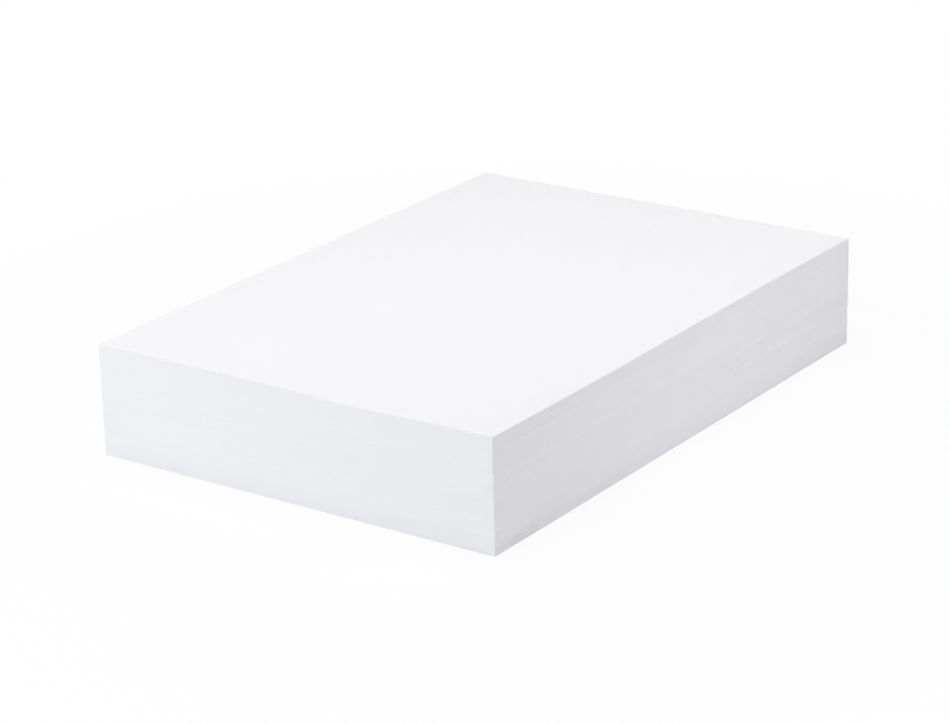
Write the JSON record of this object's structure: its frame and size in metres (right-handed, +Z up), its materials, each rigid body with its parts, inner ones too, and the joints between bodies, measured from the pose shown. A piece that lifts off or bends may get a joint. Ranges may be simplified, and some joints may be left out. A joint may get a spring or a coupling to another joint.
{
  "type": "ream of paper",
  "caption": "Unwrapped stack of plain white office paper, cut square on all four sides, with a slightly wavy top sheet. Stationery supply that lies flat.",
  "frame": {"origin": "centre of the footprint, on the surface that the ream lies on", "axes": "+X across the sheets along their short side, +Y along their long side, +Z up through the stack"},
  "size_m": [0.21, 0.297, 0.053],
  "materials": {
    "paper": "matt, uncoated, bright white"
  },
  "bodies": {
    "root": {"sheet_stack": "paper"}
  },
  "joints": []
}
